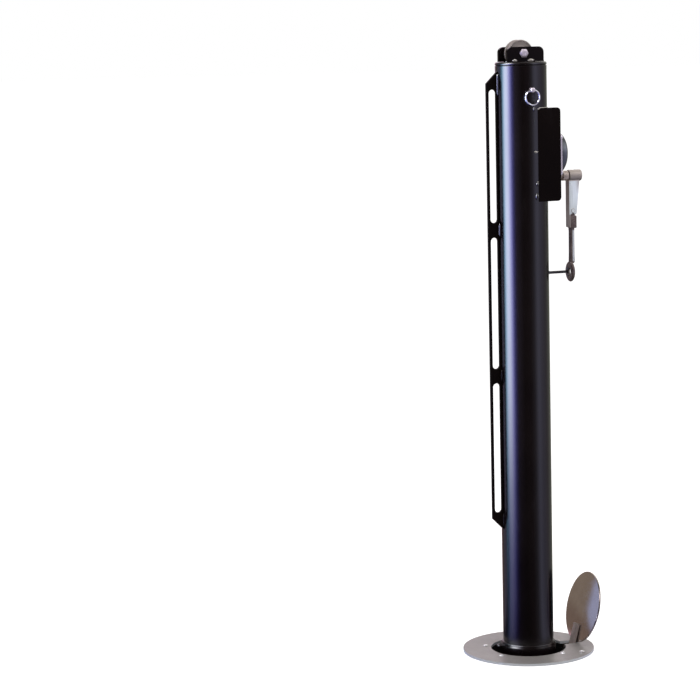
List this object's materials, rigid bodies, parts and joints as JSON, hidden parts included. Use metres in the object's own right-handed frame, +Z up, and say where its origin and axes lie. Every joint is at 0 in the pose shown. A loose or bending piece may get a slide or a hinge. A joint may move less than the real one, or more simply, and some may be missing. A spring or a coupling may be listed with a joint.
{
  "type": "tennis net post",
  "caption": "Round tennis net post in a floor socket, with slotted lacing bar, cable sheave, geared crank winch with brake, locking pin and hinged floor lid.",
  "frame": {"origin": "on the post's axis at the level of the court surface", "axes": "+Z up along the post; +X away from the net, towards the crank; -Y the side that shows the lock pin"},
  "size_m": [0.2398, 0.231, 1.3968],
  "materials": {
    "gloss_black": "gloss",
    "zinc": "satin",
    "bright_steel": "polished",
    "bolt_chrome": "polished",
    "plate_satin": "satin",
    "dark_iron": "matt",
    "bronze": "satin",
    "lining": "matt"
  },
  "bodies": {
    "ground": {"ground_sleeve": "dark_iron", "sleeve_drain_cap": "dark_iron", "floor_cup": "dark_iron", "floor_plate": "plate_satin", "flange_screw_1": "bolt_chrome", "flange_screw_2": "bolt_chrome", "flange_screw_3": "bolt_chrome", "flange_screw_4": "bolt_chrome", "anchor_screw_1": "bolt_chrome", "anchor_screw_2": "bolt_chrome", "hinge_bracket": "dark_iron", "hinge_pin": "zinc"},
    "lid": {"lid_plate": "plate_satin", "lid_strap": "plate_satin", "strap_rivet_1": "bolt_chrome", "strap_rivet_2": "bolt_chrome"},
    "post": {"post_tube": "gloss_black", "post_end_plug": "dark_iron", "foot_collar": "gloss_black", "foot_lacing_eye": "zinc", "lacing_bar": "gloss_black", "head_cap": "gloss_black", "head_spigot": "dark_iron", "ear_front": "gloss_black", "ear_back": "gloss_black", "axle_bolt": "zinc", "axle_nut": "zinc", "axle_spacer_1": "zinc", "axle_spacer_2": "zinc", "bracket_cheek_front": "gloss_black", "bracket_cheek_back": "gloss_black", "bracket_face_plate": "gloss_black", "winch_flange": "zinc", "brake_housing": "zinc", "brake_lining": "lining", "housing_screw_1": "bolt_chrome", "housing_screw_2": "bolt_chrome", "housing_screw_3": "bolt_chrome", "housing_screw_4": "bolt_chrome", "reel_inner_bearing": "bronze", "crank_bush": "bronze", "handle_stud": "gloss_black"},
    "sheave": {"sheave": "zinc", "sheave_bush": "bronze"},
    "lock_pin": {"lock_pin": "bright_steel"},
    "lock_ring": {"lock_ring": "bright_steel"},
    "reel": {"reel_drum": "dark_iron", "reel_shaft": "bright_steel", "reel_gear": "bright_steel", "brake_disc": "dark_iron"},
    "crank": {"crank_shaft": "bright_steel", "drive_pinion": "bright_steel", "crank_arm": "zinc", "crank_set_screw": "zinc", "fold_pin": "zinc"},
    "handle": {"handle_rod": "zinc"}
  },
  "joints": [
    {"name": "post_lift", "type": "slide", "parent": "ground", "child": "post", "axis": [0, 0, 1], "range_m": [0, 0.28]},
    {"name": "lid_hinge", "type": "hinge", "parent": "ground", "child": "lid", "pos_m": [0.0775, 0, -0.0065], "axis": [0, 1, 0], "range_deg": [-30, 0]},
    {"name": "sheave_spin", "type": "hinge", "parent": "post", "child": "sheave", "pos_m": [-0.0035, 0, 1.049], "axis": [0, 1, 0], "continuous": true},
    {"name": "lock_pin_slide", "type": "slide", "parent": "post", "child": "lock_pin", "axis": [0, -1, 0], "range_m": [0, 0.02]},
    {"name": "lock_ring_swing", "type": "hinge", "parent": "lock_pin", "child": "lock_ring", "pos_m": [0, -0.05095, 0.987], "axis": [1, 0, 0], "range_deg": [-100, 10]},
    {"name": "reel_spin", "type": "hinge", "parent": "post", "child": "reel", "pos_m": [0, 0, 0.8765], "axis": [1, 0, 0], "continuous": true},
    {"name": "crank_spin", "type": "hinge", "parent": "post", "child": "crank", "pos_m": [0, 0, 0.836], "axis": [1, 0, 0], "continuous": true},
    {"name": "handle_fold", "type": "hinge", "parent": "crank", "child": "handle", "pos_m": [0.0918, 0, 0.775], "axis": [0, -1, 0], "range_deg": [0, 90]}
  ],
  "couplings": [
    {"joint": "crank_spin", "follows": "reel_spin", "ratio": -3.5}
  ]
}
